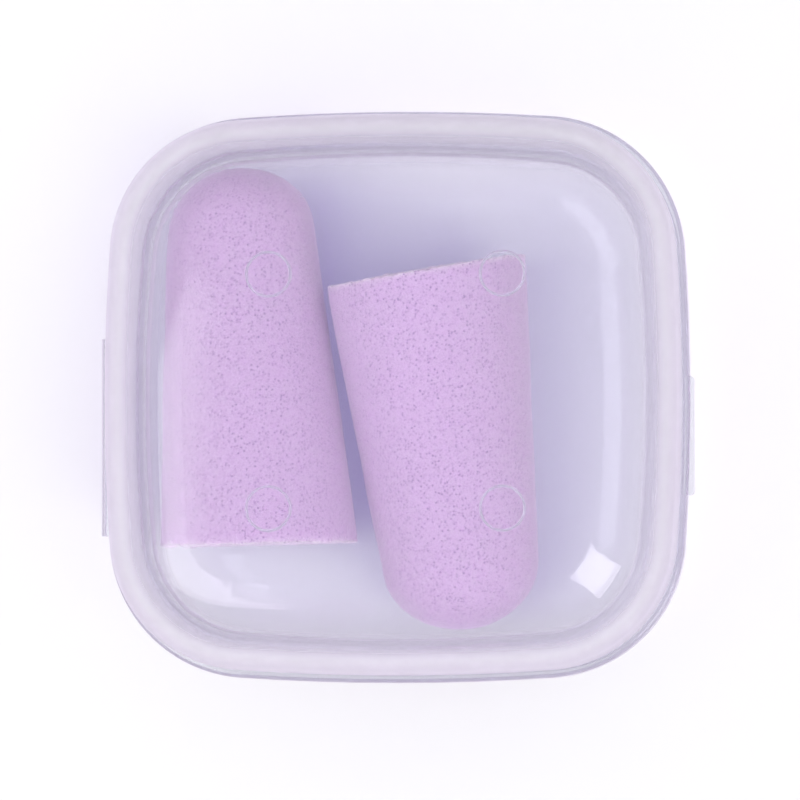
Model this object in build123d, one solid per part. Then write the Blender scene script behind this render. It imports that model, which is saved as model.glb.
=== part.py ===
from build123d import *
import math
import os

# A pair of foam ear plugs lying in their closed travel case.
#
# The case is one clear moulding: a tray-shaped base and a matching lid, joined by a film hinge.
# The two plugs lie on the floor of the base, nose to tail.
#
# Millimetres. The origin is the middle of the face that the case rests on. +Z is up, the film
# hinge is on the -X side, the thumb tab on the +X side, and Y runs across the case.

# Case, measured over the rims
case_width = 35.6
case_depth = 34.7
case_height = 19.0
corner_radius = 8.6
side_bow = 1.0
edge_radius = 5.2
wall = 0.9

# Rims and the joint between the two halves
parting_gap = 0.1
rim_overhang = 0.45
rim_height = 0.8
rim_round = 0.25

# Lip of the base, which stands up inside the lid
lip_gap = 0.25
lip_thickness = 0.7
lip_height = 1.2
lip_root = 0.8
lip_chamfer = 0.2

# Catch bead on the lip and thumb tab on the lid, on the +X side
tab_width = 7.2
tab_reach = 0.25
bead_reach = 0.13
bead_height = 0.4
bead_centre = 0.6

# Film hinge on the -X side; it and the thumb tab are centred a little off the middle of the sides
latch_line = -2.4
hinge_width = 12.0
hinge_leaf = 0.6
web_half_height = 0.5
web_reach = 0.25
web_thickness = 0.18

# Round marks that the ejector pins leave inside the lid
mark_radius = 1.4
mark_line = 0.16
mark_depth = 0.08
mark_spacing = 14.0

# Foam plugs: a cone that tapers to a round nose, cut off at its wide end
plug_base_radius = 6.2
plug_taper = 4.4
plug_floor_gap = 0.05
cut_allowance = 2.0

# How each plug lies: its name, the middle of its cut end in X and Y, the heading of its nose in
# degrees from +X, its length, and how far its cut is off square in degrees, sideways and upwards
plugs = [
    ("ear_plug_left", -8.79, -8.96, 93.84, 23.8, -2.4, 5.6),
    ("ear_plug_right", 1.55, 7.9, -83.5, 22.6, 2.9, 1.6),
]

parting_height = case_height / 2
mouth_height = parting_height - parting_gap / 2
hollow_inset = rim_overhang + wall
lip_outer_inset = hollow_inset + lip_gap
lip_inner_inset = lip_outer_inset + lip_thickness
parting_plane = Plane.XY.offset(parting_height)


def outline(inset):
    """Footprint of the case drawn in by inset: four bowed sides joined by round corners."""
    half_width = case_width / 2 - inset
    half_depth = case_depth / 2 - inset
    corner_x = half_width - side_bow
    corner_y = half_depth - side_bow
    sides = [
        ThreePointArc((-corner_x, -corner_y), (0, -half_depth), (corner_x, -corner_y)),
        ThreePointArc((corner_x, -corner_y), (half_width, 0), (corner_x, corner_y)),
        ThreePointArc((corner_x, corner_y), (0, half_depth), (-corner_x, corner_y)),
        ThreePointArc((-corner_x, corner_y), (-half_width, 0), (-corner_x, -corner_y)),
    ]
    sheet = make_face(sides)
    return fillet(sheet.vertices(), corner_radius - inset)


def slab(inset, low, high):
    """The footprint as a solid between two heights."""
    return Pos(0, 0, low) * extrude(outline(inset), high - low)


def ring(outer_inset, inner_inset, low, high):
    """A band that follows the footprint between two insets and two heights."""
    return slab(outer_inset, low, high) - slab(inner_inset, low, high)


def bottom_edges(solid):
    return solid.edges().group_by(Axis.Z)[0]


def tray():
    """Half of the case, mouth up: a flat panel that rounds into the walls, with a rim."""
    outside = slab(rim_overhang, 0, mouth_height)
    outside = fillet(bottom_edges(outside), edge_radius)
    inside = slab(hollow_inset, wall, case_height)
    inside = fillet(bottom_edges(inside), edge_radius - wall)
    rim = slab(0, mouth_height - rim_height, mouth_height)
    rim = fillet(bottom_edges(rim), rim_round)
    return outside + rim + hinge_leaf_block() - inside


def hinge_leaf_block():
    """Straight edge on the rim that the film hinge runs out of."""
    edge_x = -case_width / 2
    middle = (edge_x + hinge_leaf / 2, latch_line, mouth_height - rim_height / 2)
    return Pos(*middle) * Box(hinge_leaf, hinge_width, rim_height)


def lip():
    """Ring inside the mouth of the base that the lid closes around, with the catch bead."""
    root = ring(hollow_inset - wall / 2, lip_inner_inset, mouth_height - lip_root, mouth_height)
    upright = ring(lip_outer_inset, lip_inner_inset, mouth_height - lip_root,
                   mouth_height + lip_height)
    upright = chamfer(upright.edges().group_by(Axis.Z)[-1], lip_chamfer)
    bead_low = mouth_height + bead_centre - bead_height / 2
    bead = ring(lip_outer_inset - bead_reach, lip_outer_inset + lip_thickness / 2,
                bead_low, bead_low + bead_height)
    bead_span = Pos(case_width / 2, latch_line, parting_height) * Box(
        case_width / 2, tab_width, case_height)
    return root + upright + bead.intersect(bead_span)


def thumb_tab():
    """Low tab on the rim of the lid, drawn mouth up like the tray it belongs to."""
    reach_x = case_width / 2 + tab_reach
    length = tab_reach + wall
    middle = (reach_x - length / 2, latch_line, mouth_height - rim_height / 2)
    tab = Pos(*middle) * Box(length, tab_width, rim_height)
    corners = tab.edges().filter_by(Axis.Z).group_by(Axis.X)[-1]
    return fillet(corners, tab_reach)


def ejector_marks():
    """Four thin raised circles on the inside of the lid's panel, drawn mouth up."""
    circle = Circle(mark_radius) - Circle(mark_radius - mark_line)
    mark = Pos(0, 0, wall) * extrude(circle, mark_depth)
    return [place * mark for place in GridLocations(mark_spacing, mark_spacing, 2, 2)]


def case_base():
    return tray() + lip()


def case_lid():
    """A second tray with the tab and the marks, turned over onto the parting plane."""
    mouth_up = tray() + thumb_tab() + ejector_marks()
    return mirror(mouth_up, about=parting_plane)


def hinge_web():
    """The film between the two rims, bent outwards in a shallow C while the case is closed."""
    edge_x = -case_width / 2
    tip = edge_x - web_reach
    outer = ThreePointArc((edge_x, parting_height - web_half_height), (tip, parting_height),
                          (edge_x, parting_height + web_half_height))
    inner_half = web_half_height - web_thickness
    inner = ThreePointArc((edge_x, parting_height - inner_half),
                          (tip + web_thickness, parting_height),
                          (edge_x, parting_height + inner_half))
    ends = [Line(outer @ 0, inner @ 0), Line(outer @ 1, inner @ 1)]
    section = Plane.XZ * make_face([outer, inner, *ends])
    strip = extrude(section, hinge_width / 2, both=True)
    return Pos(0, latch_line, 0) * strip


def ear_plug(base_x, base_y, heading, length, cut_slant, cut_lean):
    """One plug, lying with its side along the floor of the base."""
    taper = math.radians(plug_taper)
    sin_taper = math.sin(taper)
    cos_taper = math.cos(taper)
    nose_radius = (plug_base_radius * cos_taper - length * sin_taper) / (1 - sin_taper)
    nose_centre = length - nose_radius
    shoulder = (nose_radius * cos_taper, nose_centre + nose_radius * sin_taper)
    nose_middle = (taper + math.pi / 2) / 2
    nose_point = (nose_radius * math.cos(nose_middle),
                  nose_centre + nose_radius * math.sin(nose_middle))
    heel = (plug_base_radius + cut_allowance * math.tan(taper), -cut_allowance)
    side = Line(heel, shoulder)
    nose = ThreePointArc(shoulder, nose_point, (0, length))
    axis_line = Polyline((0, length), (0, -cut_allowance), heel)
    half_section = Plane.XZ * make_face([side, nose, axis_line])
    body = revolve(half_section, Axis.Z)
    off_square = (math.tan(math.radians(cut_slant)), math.tan(math.radians(cut_lean)), 1)
    body = split(body, bisect_by=Plane(origin=(0, 0, 0), z_dir=off_square), keep=Keep.TOP)
    turn = math.radians(heading)
    nose_dir = (math.cos(turn) * cos_taper, math.sin(turn) * cos_taper, -sin_taper)
    across_dir = (-math.sin(turn), math.cos(turn), 0)
    base_z = wall + plug_floor_gap + plug_base_radius * cos_taper
    lying = Plane(origin=(base_x, base_y, base_z), x_dir=across_dir, z_dir=nose_dir)
    return lying * body


os.makedirs("parts", exist_ok=True)

nodes = {
    "case_base": case_base(),
    "case_lid": case_lid(),
    "hinge_web": hinge_web(),
}
for name, *placing in plugs:
    nodes[name] = ear_plug(*placing)

for name, shape in nodes.items():
    export_step(shape, os.path.join("parts", name + ".step"))
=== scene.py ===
import math

import bpy
import numpy as np
from mathutils import Matrix, Vector, noise
from mathutils.kdtree import KDTree


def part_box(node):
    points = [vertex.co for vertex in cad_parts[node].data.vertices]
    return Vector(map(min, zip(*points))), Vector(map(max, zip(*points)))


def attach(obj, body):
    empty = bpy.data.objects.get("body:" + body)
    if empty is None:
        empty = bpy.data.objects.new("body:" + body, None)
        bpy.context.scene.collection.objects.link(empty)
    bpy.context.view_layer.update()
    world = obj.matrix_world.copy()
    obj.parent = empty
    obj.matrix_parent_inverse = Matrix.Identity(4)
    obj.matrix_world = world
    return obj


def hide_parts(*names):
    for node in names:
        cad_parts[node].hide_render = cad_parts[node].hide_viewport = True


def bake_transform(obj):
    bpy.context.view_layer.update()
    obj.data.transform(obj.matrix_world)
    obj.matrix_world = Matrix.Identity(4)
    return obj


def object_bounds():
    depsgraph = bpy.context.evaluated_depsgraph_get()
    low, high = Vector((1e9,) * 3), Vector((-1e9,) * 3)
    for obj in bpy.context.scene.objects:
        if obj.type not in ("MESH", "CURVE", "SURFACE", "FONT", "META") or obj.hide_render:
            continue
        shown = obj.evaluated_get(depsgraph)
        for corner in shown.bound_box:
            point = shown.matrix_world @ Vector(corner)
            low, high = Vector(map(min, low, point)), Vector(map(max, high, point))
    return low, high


# Foam ear plugs in their closed clear case, seen from almost straight above on a white table.
# Metres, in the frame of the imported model: +Z up, film hinge on -X, thumb tab on +X.

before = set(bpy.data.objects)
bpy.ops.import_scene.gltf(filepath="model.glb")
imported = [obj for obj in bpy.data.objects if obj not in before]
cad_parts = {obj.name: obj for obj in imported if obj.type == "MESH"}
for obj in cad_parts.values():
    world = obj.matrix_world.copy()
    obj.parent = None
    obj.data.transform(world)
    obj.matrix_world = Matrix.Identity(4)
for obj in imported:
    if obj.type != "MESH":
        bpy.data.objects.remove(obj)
cad_low, cad_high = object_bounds()

MM = 0.001

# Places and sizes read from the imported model
case_middle = (cad_low + cad_high) / 2
parting_height = case_middle.z
lid_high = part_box("case_lid")[1]
web_low, web_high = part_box("hinge_web")

# Foam plugs: a cone that tapers to a round nose, cut off at its wide end. The steps are the distances
# between rings on the side and on the cut face, and the slant of the cut fades out over slant_reach.
plug_base_radius = 6.2 * MM
plug_taper = math.radians(4.4)
cut_round = 0.16 * MM
cut_round_turns = (0, 30, 60, 90)
plug_step = 0.113 * MM
face_step = 0.14 * MM
slant_reach = 7.0 * MM

# Each plug: CAD node, body, heading of the nose from +X in degrees, length, and how far the cut is
# off square in degrees, sideways and upwards
plugs = {
    "left_foam_plug": ("ear_plug_left", "left_plug", 93.84, 23.8 * MM, -2.4, 5.6),
    "right_foam_plug": ("ear_plug_right", "right_plug", -83.5, 22.6 * MM, 2.9, 1.6),
}

# Film hinge: its thickness, the steps along its arc and the rows along the hinge
web_thickness = 0.18 * MM
web_steps = 13
web_rows = 25

# Round marks that the ejector pins leave inside the lid: mark_foot is how far the middle of their crest
# lies below the top of the case
mark_radius = 1.32 * MM
mark_spacing = 14.0 * MM
mark_half_width = 0.085 * MM
mark_half_height = 0.03 * MM
mark_foot = 0.98 * MM + mark_half_height
mark_steps = 96
mark_section_steps = 12

# Surface of the foam: how wide and how deep each kind of unevenness is, and how far from the cut it
# reaches
lump_size = 3.2 * MM
lump_depth = 0.06 * MM
grain_size = 0.40 * MM
grain_depth = 0.02 * MM
ragged_size = 0.45 * MM
ragged_depth = 0.16 * MM
ragged_reach = 2.0 * MM
torn_width = 0.28 * MM
pit_count = 1500
pit_radius = 0.10 * MM
pit_reach = 2.5 * pit_radius
pit_depth = 0.05 * MM
shallowest_pit = 0.4

# The middle of each noise lies this share of its depth under the plain surface. The seeds keep the
# noises apart, and shift each one by a different amount along X, Y and Z.
noise_inset = 0.5
noise_shift = (1.0, 1.7, 0.6)
grain_seed = 5
tear_seed = 9

# Camera: distance, how far it leans towards +X and -Y for each unit of height, and what it frames
camera_distance = 0.45
camera_lean = Vector((0.082, -0.044, 1.0))
view_width = 48.6 * MM
view_shift = Vector((0.16, -0.16, 0.0)) * MM
sensor_width = 36.0
clip_factor = 20

# Softboxes: middle of the top edge and of the bottom edge, measured from the middle of the case, then
# width and radiance. One lies flat on the left and one stands leaning over the case on the right.
softboxes = {
    "softbox_left": ((-0.061, -0.111, 0.431), (-0.380, -0.111, 0.431), 0.30, 2.45),
    "softbox_right": ((0.143, -0.100, 1.238), (0.340, -0.238, 0.280), 0.19, 4.0),
}
sky_colour = (0.97, 0.965, 1.0, 1.0)
sky_strength = 0.82
floor_size = 3.0
floor_gap = 0.06 * MM

# Clear plastic: roughness of its glossy panels and of its satin walls, and how milky it looks face on
# and edgeways, where it is as moulded and where it is whitened by a bend or by a pin
plastic_ior = 1.49
panel_roughness = 0.05
wall_roughness = 0.22
roughness_patch = 1.1 * MM
roughness_detail = 4.0
roughness_spread = (0.9, 1.1)
noise_span = (0.3, 0.7)
ripple_size = 2.4 * MM
ripple_detail = 3.0
ripple_depth = 0.02 * MM
ripple_strength = 0.06
moulded_milk = (0.05, 0.92)
whitened_milk = (0.26, 0.92)
haze_roughness = 0.35
glow_share = 0.6

# The share of a normal that points straight up or down, on a wall and on a panel, and the Facing
# weights at which the milkiness starts and is full
wall_normal = 0.25
panel_normal = 0.85
facing_blend = 0.5
milk_start = 0.20
milk_full = 0.78

# Foam material: pores as spacing, radius and how strong the painted shade of the faintest one is, then
# the shader's values.
# A pore is full inside pore_floor radii and gone outside pore_rim radii.
wide_pores = (0.18 * MM, 0.062 * MM, 0.2)
fine_pores = (0.11 * MM, 0.04 * MM, 0.0)
fine_pore_shade_share = 0.5
pore_floor, pore_rim = 0.4, 1.4
faintest_cell = 0.2
fibre_size = 0.12 * MM
fibre_detail = 3.0
fibre_depth = 0.03 * MM
fibre_strength = 0.6
pore_depth = 0.06 * MM
pore_strength = 0.8
foam_roughness = 0.95
foam_specular = 0.2
foam_scatter = 0.8
foam_scatter_radius = (1.0, 0.7, 1.0)
foam_scatter_scale = 1.2 * MM
foam_sheen = 0.8
foam_sheen_roughness = 0.4
floor_roughness = 0.8

# Sockets of a Mix node that blends colours
MIX_FACTOR, MIX_FIRST, MIX_SECOND, MIX_RESULT = 0, 6, 7, 2

# Linear colours
# Painted light: the upright walls take a paler tint than the flat panels so that they read brighter; the
# plastic itself has one tint
panel_tint = (0.82, 0.825, 0.86, 1.0)
painted_bright_wall_tint = (0.96, 0.95, 0.98, 1.0)
plastic_shadow = (0.972, 0.963, 0.985, 1.0)
plastic_haze = (0.84, 0.80, 0.905, 1.0)
plastic_glow = (0.95, 0.92, 0.98, 1.0)
foam_colour = (0.665, 0.468, 0.70, 1.0)
# Painted shade: the dark colour that fills the hollows of the foam's pores
painted_pore_shade = (0.32, 0.20, 0.42, 1.0)
foam_cut_colour = (0.82, 0.66, 0.80, 1.0)
foam_fuzz = (0.95, 0.80, 1.0, 1.0)
foam_glow = (0.58, 0.52, 0.76, 1.0)
floor_colour = (0.82, 0.82, 0.82, 1.0)


# ---------------------------------------------------------------- materials

def new_material(name):
    """An empty node material, with its node tree and its output node."""
    material = bpy.data.materials.new(name)
    material.use_nodes = True
    tree = material.node_tree
    tree.nodes.clear()
    output = tree.nodes.new("ShaderNodeOutputMaterial")
    return material, tree, output


def add_node(tree, kind, **inputs):
    """A node with its plain input values set by name, with underscores for spaces."""
    node = tree.nodes.new(kind)
    for name, value in inputs.items():
        node.inputs[name.replace("_", " ")].default_value = value
    return node


def object_coordinates(tree):
    return tree.nodes.new("ShaderNodeTexCoord").outputs["Object"]


def noise_texture(tree, coordinates, size, detail):
    """Noise whose blobs are about size across, in metres."""
    texture = add_node(tree, "ShaderNodeTexNoise", Scale=1.0 / size, Detail=detail)
    tree.links.new(coordinates, texture.inputs["Vector"])
    return texture.outputs["Fac"]


def map_range(tree, value, low, high, to_low, to_high):
    """The value moved from the range low to high to the range to_low to to_high, and kept inside it."""
    node = tree.nodes.new("ShaderNodeMapRange")
    node.inputs["From Min"].default_value = low
    node.inputs["From Max"].default_value = high
    node.inputs["To Min"].default_value = to_low
    node.inputs["To Max"].default_value = to_high
    tree.links.new(value, node.inputs["Value"])
    return node.outputs["Result"]


def mix_colours(tree, factor, first, second):
    """A blend of two colours, of which the first may be another node's output."""
    node = tree.nodes.new("ShaderNodeMix")
    node.data_type = "RGBA"
    if isinstance(first, tuple):
        node.inputs[MIX_FIRST].default_value = first
    else:
        tree.links.new(first, node.inputs[MIX_FIRST])
    node.inputs[MIX_SECOND].default_value = second
    tree.links.new(factor, node.inputs[MIX_FACTOR])
    return node.outputs[MIX_RESULT]


def bump(tree, height, distance, strength, normal=None):
    """A normal tilted by the height, on top of another bump's normal if there is one."""
    node = add_node(tree, "ShaderNodeBump", Strength=strength, Distance=distance)
    tree.links.new(height, node.inputs["Height"])
    if normal is not None:
        tree.links.new(normal, node.inputs["Normal"])
    return node.outputs["Normal"]


def multiply(tree, first, second):
    node = tree.nodes.new("ShaderNodeMath")
    node.operation = "MULTIPLY"
    tree.links.new(first, node.inputs[0])
    tree.links.new(second, node.inputs[1])
    return node.outputs["Value"]


def mix_shaders(tree, factor, first, second):
    """A blend of two shaders by a plain number or by another node's output."""
    mixed = tree.nodes.new("ShaderNodeMixShader")
    if isinstance(factor, float):
        mixed.inputs["Fac"].default_value = factor
    else:
        tree.links.new(factor, mixed.inputs["Fac"])
    tree.links.new(first, mixed.inputs[1])
    tree.links.new(second, mixed.inputs[2])
    return mixed.outputs["Shader"]


def shadow_tint(tree, shader, tint):
    """The shader, but lamps shine through its surface with the given tint."""
    see_through = add_node(tree, "ShaderNodeBsdfTransparent", Color=tint)
    light_path = tree.nodes.new("ShaderNodeLightPath")
    return mix_shaders(tree, light_path.outputs["Is Shadow Ray"], shader, see_through.outputs["BSDF"])


def steepness(tree):
    """0 on the flat panels of the case and their rounded edges, 1 on its upright walls and rims."""
    normal = tree.nodes.new("ShaderNodeTexCoord").outputs["Normal"]
    parts = tree.nodes.new("ShaderNodeSeparateXYZ")
    tree.links.new(normal, parts.inputs["Vector"])
    upward = tree.nodes.new("ShaderNodeMath")
    upward.operation = "ABSOLUTE"
    tree.links.new(parts.outputs["Z"], upward.inputs[0])
    return map_range(tree, upward.outputs["Value"], wall_normal, panel_normal, 1.0, 0.0)


def edgeways(tree):
    """0 where the surface is seen face on, 1 where it is seen along itself."""
    weight = add_node(tree, "ShaderNodeLayerWeight", Blend=facing_blend)
    return map_range(tree, weight.outputs["Facing"], milk_start, milk_full, 0.0, 1.0)


def clear_plastic(name, face_milk, edge_milk):
    """Clear polypropylene: glossy panels, satin walls, milkier seen edgeways, and lamps shine through."""
    material, tree, output = new_material(name)
    coordinates = object_coordinates(tree)
    satin = steepness(tree)
    ripple = bump(tree, noise_texture(tree, coordinates, ripple_size, ripple_detail),
                  ripple_depth, ripple_strength)
    patches = noise_texture(tree, coordinates, roughness_patch, roughness_detail)
    unevenness = map_range(tree, patches, *noise_span, *roughness_spread)
    even_roughness = map_range(tree, satin, 0.0, 1.0, panel_roughness, wall_roughness)
    roughness = multiply(tree, even_roughness, unevenness)
    clear = add_node(tree, "ShaderNodeBsdfPrincipled", IOR=plastic_ior)
    # Painted light: the tint goes from the panels' tint to the paler wall tint on the upright walls
    tree.links.new(mix_colours(tree, satin, panel_tint, painted_bright_wall_tint), clear.inputs["Base Color"])
    clear.inputs["Transmission Weight"].default_value = 1.0
    tree.links.new(roughness, clear.inputs["Roughness"])
    tree.links.new(ripple, clear.inputs["Normal"])
    haze = add_node(tree, "ShaderNodeBsdfPrincipled", Base_Color=plastic_haze, Roughness=haze_roughness)
    glow = add_node(tree, "ShaderNodeBsdfTranslucent", Color=plastic_glow)
    milk = mix_shaders(tree, glow_share, haze.outputs["BSDF"], glow.outputs["BSDF"])
    milkiness = map_range(tree, edgeways(tree), 0.0, 1.0, face_milk, edge_milk)
    milky = mix_shaders(tree, milkiness, clear.outputs["BSDF"], milk)
    tree.links.new(shadow_tint(tree, milky, plastic_shadow), output.inputs["Surface"])
    return material


def foam_pores(tree, coordinates, spacing, radius, faintest):
    """Round pores about spacing apart, each with a depth of its own between faintest and 1."""
    cells = add_node(tree, "ShaderNodeTexVoronoi", Scale=1.0 / spacing, Randomness=1.0)
    tree.links.new(coordinates, cells.inputs["Vector"])
    reach = radius / spacing
    hollow = map_range(tree, cells.outputs["Distance"], pore_floor * reach, pore_rim * reach, 1.0, 0.0)
    shades = tree.nodes.new("ShaderNodeSeparateColor")
    tree.links.new(cells.outputs["Color"], shades.inputs["Color"])
    depth = map_range(tree, shades.outputs["Red"], faintest_cell, 1.0, faintest, 1.0)
    return multiply(tree, hollow, depth)


def plug_foam():
    """Soft polyurethane foam: matt, with painted shade darkening its fine pores between paler cell walls.
    """
    material, tree, output = new_material("lavender_foam")
    coordinates = object_coordinates(tree)
    wide = foam_pores(tree, coordinates, *wide_pores)
    fine = foam_pores(tree, coordinates, *fine_pores)
    torn = tree.nodes.new("ShaderNodeAttribute")
    torn.attribute_name = "cut_edge"
    plain = mix_colours(tree, torn.outputs["Fac"], foam_colour, foam_cut_colour)
    # Painted shade in the pores: the fine pores and then the wide pores are darkened towards the pore
    # colour
    faint = map_range(tree, fine, 0.0, 1.0, 0.0, fine_pore_shade_share)
    fine_pore_shaded = mix_colours(tree, faint, plain, painted_pore_shade)
    colour = mix_colours(tree, wide, fine_pore_shaded, painted_pore_shade)
    fibres = bump(tree, noise_texture(tree, coordinates, fibre_size, fibre_detail),
                  fibre_depth, fibre_strength)
    pitted = bump(tree, wide, -pore_depth, pore_strength, fibres)
    foam = add_node(tree, "ShaderNodeBsdfPrincipled", Roughness=foam_roughness)
    foam.inputs["Subsurface Weight"].default_value = foam_scatter
    foam.inputs["Subsurface Radius"].default_value = foam_scatter_radius
    foam.inputs["Subsurface Scale"].default_value = foam_scatter_scale
    foam.inputs["Sheen Weight"].default_value = foam_sheen
    foam.inputs["Sheen Roughness"].default_value = foam_sheen_roughness
    foam.inputs["Sheen Tint"].default_value = foam_fuzz
    foam.inputs["Specular IOR Level"].default_value = foam_specular
    tree.links.new(colour, foam.inputs["Base Color"])
    tree.links.new(pitted, foam.inputs["Normal"])
    tree.links.new(shadow_tint(tree, foam.outputs["BSDF"], foam_glow), output.inputs["Surface"])
    return material


def table_top():
    """The plain pale table, which is only the stage."""
    material, tree, output = new_material("white_table")
    top = add_node(tree, "ShaderNodeBsdfPrincipled", Base_Color=floor_colour, Roughness=floor_roughness)
    tree.links.new(top.outputs["BSDF"], output.inputs["Surface"])
    return material


# ---------------------------------------------------------------- pieces

def link(name, data):
    """An object with the given mesh, lamp or camera, put into the scene."""
    piece = bpy.data.objects.new(name, data)
    bpy.context.scene.collection.objects.link(piece)
    return piece


def new_mesh(name, points, faces, material):
    mesh = bpy.data.meshes.new(name)
    mesh.from_pydata(points, [], faces)
    mesh.materials.append(material)
    return mesh


def plug_profile(length):
    """Outline of a plug from the middle of its cut end to the tip of its nose, as (radius, height)."""
    nose_radius = ((plug_base_radius * math.cos(plug_taper) - length * math.sin(plug_taper))
                   / (1 - math.sin(plug_taper)))
    nose_centre = length - nose_radius
    shoulder = nose_centre + nose_radius * math.sin(plug_taper)
    flat = plug_base_radius - cut_round
    points = [(radius, 0.0) for radius in np.arange(face_step, flat, face_step)]
    for turn in np.radians(cut_round_turns):
        points.append((flat + cut_round * math.sin(turn), cut_round * (1 - math.cos(turn))))
    for height in np.arange(cut_round + plug_step, shoulder, plug_step):
        points.append((plug_base_radius - height * math.tan(plug_taper), height))
    for turn in np.arange(plug_taper, math.pi / 2, plug_step / nose_radius)[:-1]:
        points.append((nose_radius * math.cos(turn), nose_centre + nose_radius * math.sin(turn)))
    return np.array(points)


def plug_mesh(length):
    """The plug as rings around its own axis, closed at the cut end and at the nose."""
    profile = plug_profile(length)
    around = int(round(2 * math.pi * plug_base_radius / plug_step))
    angles = np.arange(around) * 2 * math.pi / around
    radius, height = profile[:, :1], profile[:, 1:]
    sides = np.broadcast_arrays(radius * np.cos(angles), radius * np.sin(angles), height)
    rings = np.stack(sides, axis=-1).reshape(-1, 3)
    points = np.vstack([rings, (0.0, 0.0, 0.0), (0.0, 0.0, length)])
    count = len(profile)
    cut_middle = count * around
    nose_tip = cut_middle + 1
    ring = np.arange(around)
    following = (ring + 1) % around
    quads = [np.stack([k * around + ring, k * around + following,
                       (k + 1) * around + following, (k + 1) * around + ring], axis=-1)
             for k in range(count - 1)]
    faces = np.vstack(quads).tolist()
    faces += [[cut_middle, int(b), int(a)] for a, b in zip(ring, following)]
    last = (count - 1) * around
    faces += [[last + int(a), last + int(b), nose_tip] for a, b in zip(ring, following)]
    return points, faces


def lay_plug(points, heading, slant, lean, node):
    """Slants the cut, lays the plug on its side and moves it to where its CAD node is."""
    near_cut = np.clip(1 - points[:, 2] / slant_reach, 0, 1)
    fade = near_cut * near_cut * (3 - 2 * near_cut)
    off_square = (points[:, 0] * math.tan(math.radians(slant))
                  + points[:, 1] * math.tan(math.radians(lean)))
    points[:, 2] -= off_square * fade
    turn = math.radians(heading)
    nose = np.array((math.cos(turn) * math.cos(plug_taper), math.sin(turn) * math.cos(plug_taper),
                     -math.sin(plug_taper)))
    across = np.array((-math.sin(turn), math.cos(turn), 0.0))
    laid = points @ np.array((across, np.cross(nose, across), nose))
    low, high = (np.array(corner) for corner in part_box(node))
    return laid + (low + high) / 2 - (laid.min(axis=0) + laid.max(axis=0)) / 2


def vertex_normals(mesh):
    """One unit normal per point, as rows."""
    normals = np.empty(len(mesh.vertices) * 3, np.float32)
    mesh.vertex_normals.foreach_get("vector", normals)
    return normals.reshape(-1, 3)


def smooth_noise(points, size, seed):
    """Perlin noise at each point, in blobs of about the given size."""
    shift = Vector([seed * share for share in noise_shift])
    return np.array([noise.noise(Vector(point) / size + shift) for point in points])


def pits(points, from_axis, seed):
    """How deep the larger open pores go at each point, from 0 to 1. The rings' points crowd towards the
    axis, so those near it are chosen less often."""
    chooser = np.random.default_rng(seed)
    centres = chooser.choice(len(points), pit_count, replace=False, p=from_axis / from_axis.sum())
    tree = KDTree(len(points))
    for index, point in enumerate(points):
        tree.insert(point, index)
    tree.balance()
    depth = np.zeros(len(points))
    for centre in centres:
        strength = chooser.uniform(shallowest_pit, 1.0)
        for _, index, distance in tree.find_range(points[centre], pit_reach):
            depth[index] = max(depth[index], strength * math.exp(-(distance / pit_radius) ** 2))
    return depth


def foam_plug(name, node, body, heading, length, slant, lean, material):
    """A foam plug: soft lumps, grain, open pores and a slightly ragged cut."""
    points, faces = plug_mesh(length)
    from_cut = np.abs(points[:, 2])
    from_axis = np.hypot(points[:, 0], points[:, 1])
    rim = (from_axis > plug_base_radius / 2) & (from_cut < ragged_reach)
    ragged = np.where(rim, np.exp(-(from_cut / ragged_size) ** 2), 0.0)
    torn = np.exp(-(from_cut / torn_width) ** 2)
    laid = lay_plug(points, heading, slant, lean, node)
    mesh = new_mesh(name, laid.tolist(), faces, material)
    normals = vertex_normals(mesh)
    seed = length / MM
    lumps = smooth_noise(laid, lump_size, seed)
    grain = smooth_noise(laid, grain_size, seed + grain_seed)
    tears = smooth_noise(laid, ragged_size, seed + tear_seed)
    inset = (lump_depth * (noise_inset - lumps) + grain_depth * (noise_inset - grain)
             + ragged_depth * ragged * (noise_inset - tears)
             + pit_depth * pits(laid, from_axis, int(seed)))
    rough = laid - normals * inset[:, None]
    mesh.vertices.foreach_set("co", rough.astype(np.float32).ravel())
    mesh.update()
    mesh.attributes.new("cut_edge", "FLOAT", "POINT").data.foreach_set("value", torn.astype(np.float32))
    mesh.shade_smooth()
    piece = link(name, mesh)
    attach(piece, body)
    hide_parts(node)


def web_arc(half_height, reach):
    """Points along an arc that bulges out by reach, as (how far out, height above the parting plane)."""
    radius = (half_height ** 2 + reach ** 2) / (2 * reach)
    half_turn = math.asin(half_height / radius)
    turns = np.linspace(-half_turn, half_turn, web_steps)
    return [(radius * math.cos(turn) - radius + reach, radius * math.sin(turn)) for turn in turns]


def film_hinge(material):
    """The thin film between the two halves, built as a fixed arc that bulges outwards."""
    half_height = (web_high.z - web_low.z) / 2
    outer = web_arc(half_height, web_high.x - web_low.x)
    inner = web_arc(half_height - web_thickness, web_high.x - web_low.x - web_thickness)
    loop = outer + inner[::-1]
    rows = np.linspace(web_low.y, web_high.y, web_rows)
    points = [(web_high.x - out, y, parting_height + height) for y in rows for out, height in loop]
    count = len(loop)
    faces = []
    for row in range(web_rows - 1):
        for k in range(count):
            a, b = row * count + k, row * count + (k + 1) % count
            faces.append((a, b, b + count, a + count))
    for k in range(web_steps - 1):
        quad = (k, k + 1, count - 2 - k, count - 1 - k)
        last = (web_rows - 1) * count
        faces.append(quad[::-1])
        faces.append(tuple(last + corner for corner in quad))
    mesh = new_mesh("film_hinge", points, faces, material)
    mesh.shade_smooth()
    piece = link("film_hinge", mesh)
    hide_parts("hinge_web")
    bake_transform(piece)


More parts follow.
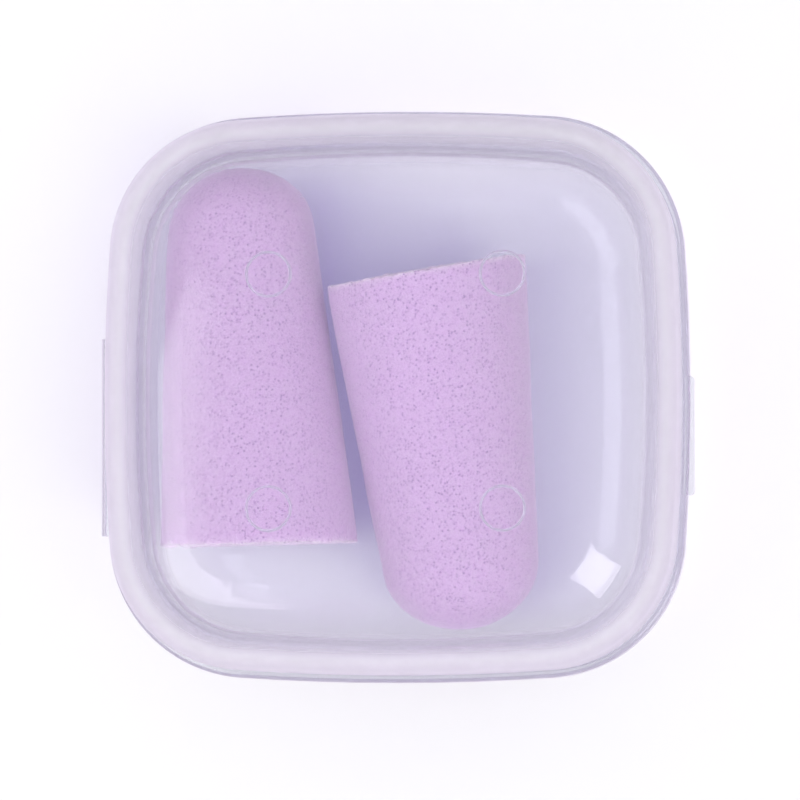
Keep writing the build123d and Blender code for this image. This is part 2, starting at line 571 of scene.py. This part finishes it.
def ring_points(centre_x, centre_y, height):
    """Points of one mark, a thin ring that lies flat, section by section around it."""
    points = []
    for turn in np.arange(mark_steps) * 2 * math.pi / mark_steps:
        for slice_turn in np.arange(mark_section_steps) * 2 * math.pi / mark_section_steps:
            radius = mark_radius + mark_half_width * math.cos(slice_turn)
            points.append((centre_x + radius * math.cos(turn), centre_y + radius * math.sin(turn),
                           height + mark_half_height * math.sin(slice_turn)))
    return points


def ring_faces(first):
    """Faces of one mark, whose points start at the index first."""
    faces = []
    for k in range(mark_steps):
        ring = first + k * mark_section_steps
        beyond = first + (k + 1) % mark_steps * mark_section_steps
        for j in range(mark_section_steps):
            after = (j + 1) % mark_section_steps
            faces.append((ring + j, beyond + j, beyond + after, ring + after))
    return faces


def ejector_marks(material):
    """The rounded crest on each of the four ejector-pin circles inside the lid's panel."""
    height = lid_high.z - mark_foot
    points, faces = [], []
    for side_x in (-0.5, 0.5):
        for side_y in (-0.5, 0.5):
            faces += ring_faces(len(points))
            points += ring_points(case_middle.x + side_x * mark_spacing,
                                  case_middle.y + side_y * mark_spacing, height)
    mesh = new_mesh("ejector_marks", points, faces, material)
    mesh.shade_smooth()
    piece = link("ejector_marks", mesh)
    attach(piece, "lid")


def dress_cad_node(node, material):
    """Gives a carried-over CAD node its finished material."""
    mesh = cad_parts[node].data
    mesh.materials.clear()
    mesh.materials.append(material)


def floor():
    """The table, a hair below the case: coplanar faces would go dark where the base shows them."""
    half = floor_size / 2
    height = cad_low.z - floor_gap
    corners = [(-half, -half, height), (half, -half, height), (half, half, height), (-half, half, height)]
    mesh = new_mesh("table_top", corners, [(0, 1, 2, 3)], table_top())
    sheet = link("table_top", mesh)


# ---------------------------------------------------------------- light and camera

def softbox(name, top, bottom, width, radiance):
    """A rectangular lamp with its top and bottom edges in the given places, turned to the case."""
    upward = Vector(top) - Vector(bottom)
    outward = (Vector(top) + Vector(bottom)) / 2
    lamp = bpy.data.lights.new(name, "AREA")
    lamp.shape = "RECTANGLE"
    lamp.size = width
    lamp.size_y = upward.length
    lamp.energy = radiance * math.pi * width * upward.length
    across = upward.cross(outward).normalized()
    upward.normalize()
    facing = Matrix((across, upward, across.cross(upward))).transposed().to_4x4()
    link(name, lamp).matrix_world = Matrix.Translation(case_middle + outward) @ facing


def sky():
    """Even, slightly cool fill from all round."""
    world = bpy.data.worlds.new("studio_fill")
    world.use_nodes = True
    background = world.node_tree.nodes["Background"]
    background.inputs["Color"].default_value = sky_colour
    background.inputs["Strength"].default_value = sky_strength
    bpy.context.scene.world = world


def camera():
    """The camera of the main picture, leaning over the case from camera_distance away."""
    lens = bpy.data.cameras.new("camera")
    lens.sensor_width = sensor_width
    lens.lens = sensor_width * camera_distance / view_width
    lens.clip_start = camera_distance / clip_factor
    lens.clip_end = camera_distance * clip_factor
    holder = link("camera", lens)
    target = Vector((case_middle.x, case_middle.y, parting_height)) + view_shift
    back = camera_lean.normalized()
    right = Vector((0, 1, 0)).cross(back).normalized()
    facing = Matrix((right, back.cross(right), back)).transposed().to_4x4()
    holder.matrix_world = Matrix.Translation(target + back * camera_distance) @ facing
    bpy.context.scene.camera = holder


# ---------------------------------------------------------------- the scene

plastic = clear_plastic("clear_polypropylene", *moulded_milk)
whitened_plastic = clear_plastic("whitened_polypropylene", *whitened_milk)
foam = plug_foam()

camera()
sky()
for name, placing in softboxes.items():
    softbox(name, *placing)
floor()

bpy.context.scene.view_settings.view_transform = "Standard"

for node in ("case_base", "case_lid"):
    dress_cad_node(node, plastic)
film_hinge(whitened_plastic)
ejector_marks(whitened_plastic)
for name, placing in plugs.items():
    foam_plug(name, *placing, foam)
